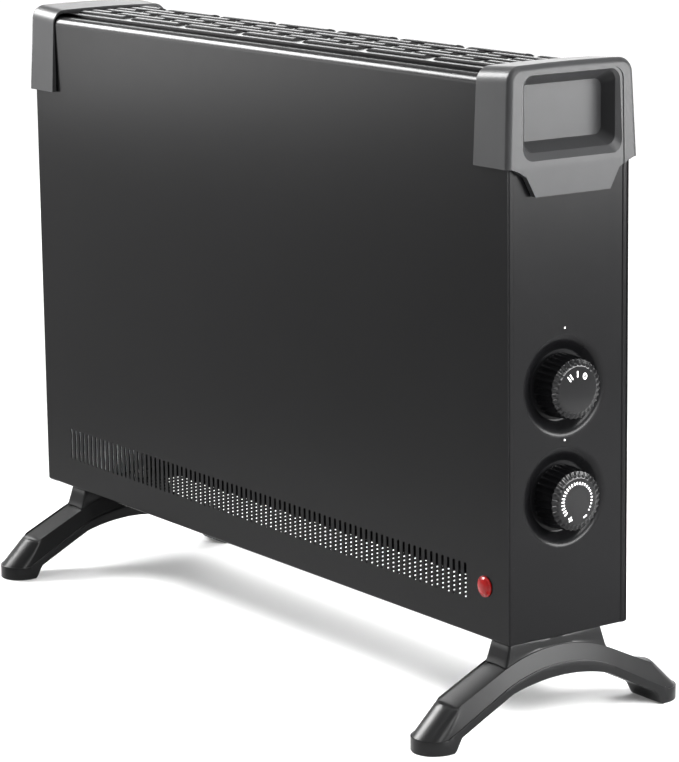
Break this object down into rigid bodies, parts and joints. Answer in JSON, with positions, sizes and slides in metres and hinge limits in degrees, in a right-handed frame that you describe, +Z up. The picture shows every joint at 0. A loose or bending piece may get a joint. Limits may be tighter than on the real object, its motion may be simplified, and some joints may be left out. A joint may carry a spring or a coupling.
{
  "type": "convector panel heater",
  "caption": "Free-standing electric convector: slim sheet-metal casing with louvred outlet, end caps with carrying recesses, side knobs and bridge feet.",
  "frame": {"origin": "on the floor, under the middle of the object's overall box", "axes": "+X along the front to the end with the knobs, +Y from the front to the back, +Z up"},
  "size_m": [0.59, 0.208, 0.4236],
  "materials": {
    "casing_paint": "satin black powder coat",
    "handle_plastic": "fine-grained dark grey plastic",
    "foot_plastic": "fine-grained black plastic",
    "pad_rubber": "soft rubber",
    "screw_steel": "zinc plated",
    "knob_plastic": "semi-gloss black plastic with white marks",
    "shaft_steel": "turned steel",
    "switch_plastic": "moulded thermoset",
    "contact_brass": "stamped brass",
    "frame_steel": "galvanised sheet",
    "ceramic": "unglazed ceramic",
    "lens_red": "clear red plastic",
    "holder_plastic": "moulded nylon",
    "bulb_glass": "clear glass",
    "element_aluminium": "extruded"
  },
  "bodies": {
    "casing": {"front_panel": "casing_paint", "rear_panel": "casing_paint", "left_side_panel": "casing_paint", "right_side_panel": "casing_paint", "bottom_plate": "casing_paint", "top_grille": "casing_paint", "left_handle": "handle_plastic", "right_handle": "handle_plastic", "handle_screws": "screw_steel", "left_foot": "foot_plastic", "right_foot": "foot_plastic", "foot_pads": "pad_rubber", "foot_screws": "screw_steel", "foot_nuts": "screw_steel", "casing_screws": "screw_steel", "power_switch_housing": "switch_plastic", "power_switch_cover": "switch_plastic", "power_switch_tabs": "contact_brass", "thermostat_frame": "frame_steel", "thermostat_block": "ceramic", "thermostat_blades": "contact_brass", "thermostat_spacers": "ceramic", "bush_nuts": "screw_steel", "indicator_lens": "lens_red", "indicator_holder": "holder_plastic", "indicator_bulb": "bulb_glass", "lower_heating_element": "element_aluminium", "upper_heating_element": "element_aluminium", "element_bushes": "ceramic", "element_bracket": "frame_steel", "control_bulkhead": "frame_steel", "heat_shield": "frame_steel", "thermal_cutout": "ceramic", "cutout_screws": "screw_steel", "terminal_block": "switch_plastic", "terminal_screws": "screw_steel", "cord_inlet": "holder_plastic"},
    "power_dial": {"power_knob": "knob_plastic", "power_switch_shaft": "shaft_steel"},
    "thermostat_dial": {"thermostat_knob": "knob_plastic", "thermostat_shaft": "shaft_steel"},
    "push_pin": {"thermostat_pin": "contact_brass"}
  },
  "joints": [
    {"name": "power_knob_turn", "type": "hinge", "parent": "casing", "child": "power_dial", "pos_m": [0.28285, 0.00735, 0.2205], "axis": [1, 0, 0], "range_deg": [-37, 37]},
    {"name": "thermostat_knob_turn", "type": "hinge", "parent": "casing", "child": "thermostat_dial", "pos_m": [0.28285, 0.00735, 0.149], "axis": [1, 0, 0], "range_deg": [-134, 134]},
    {"name": "thermostat_pin_slide", "type": "slide", "parent": "casing", "child": "push_pin", "axis": [1, 0, 0], "range_m": [-0.0006, 0.0006]}
  ],
  "couplings": [
    {"joint": "thermostat_pin_slide", "follows": "thermostat_knob_turn", "m_per_rad": 0.00023873}
  ]
}
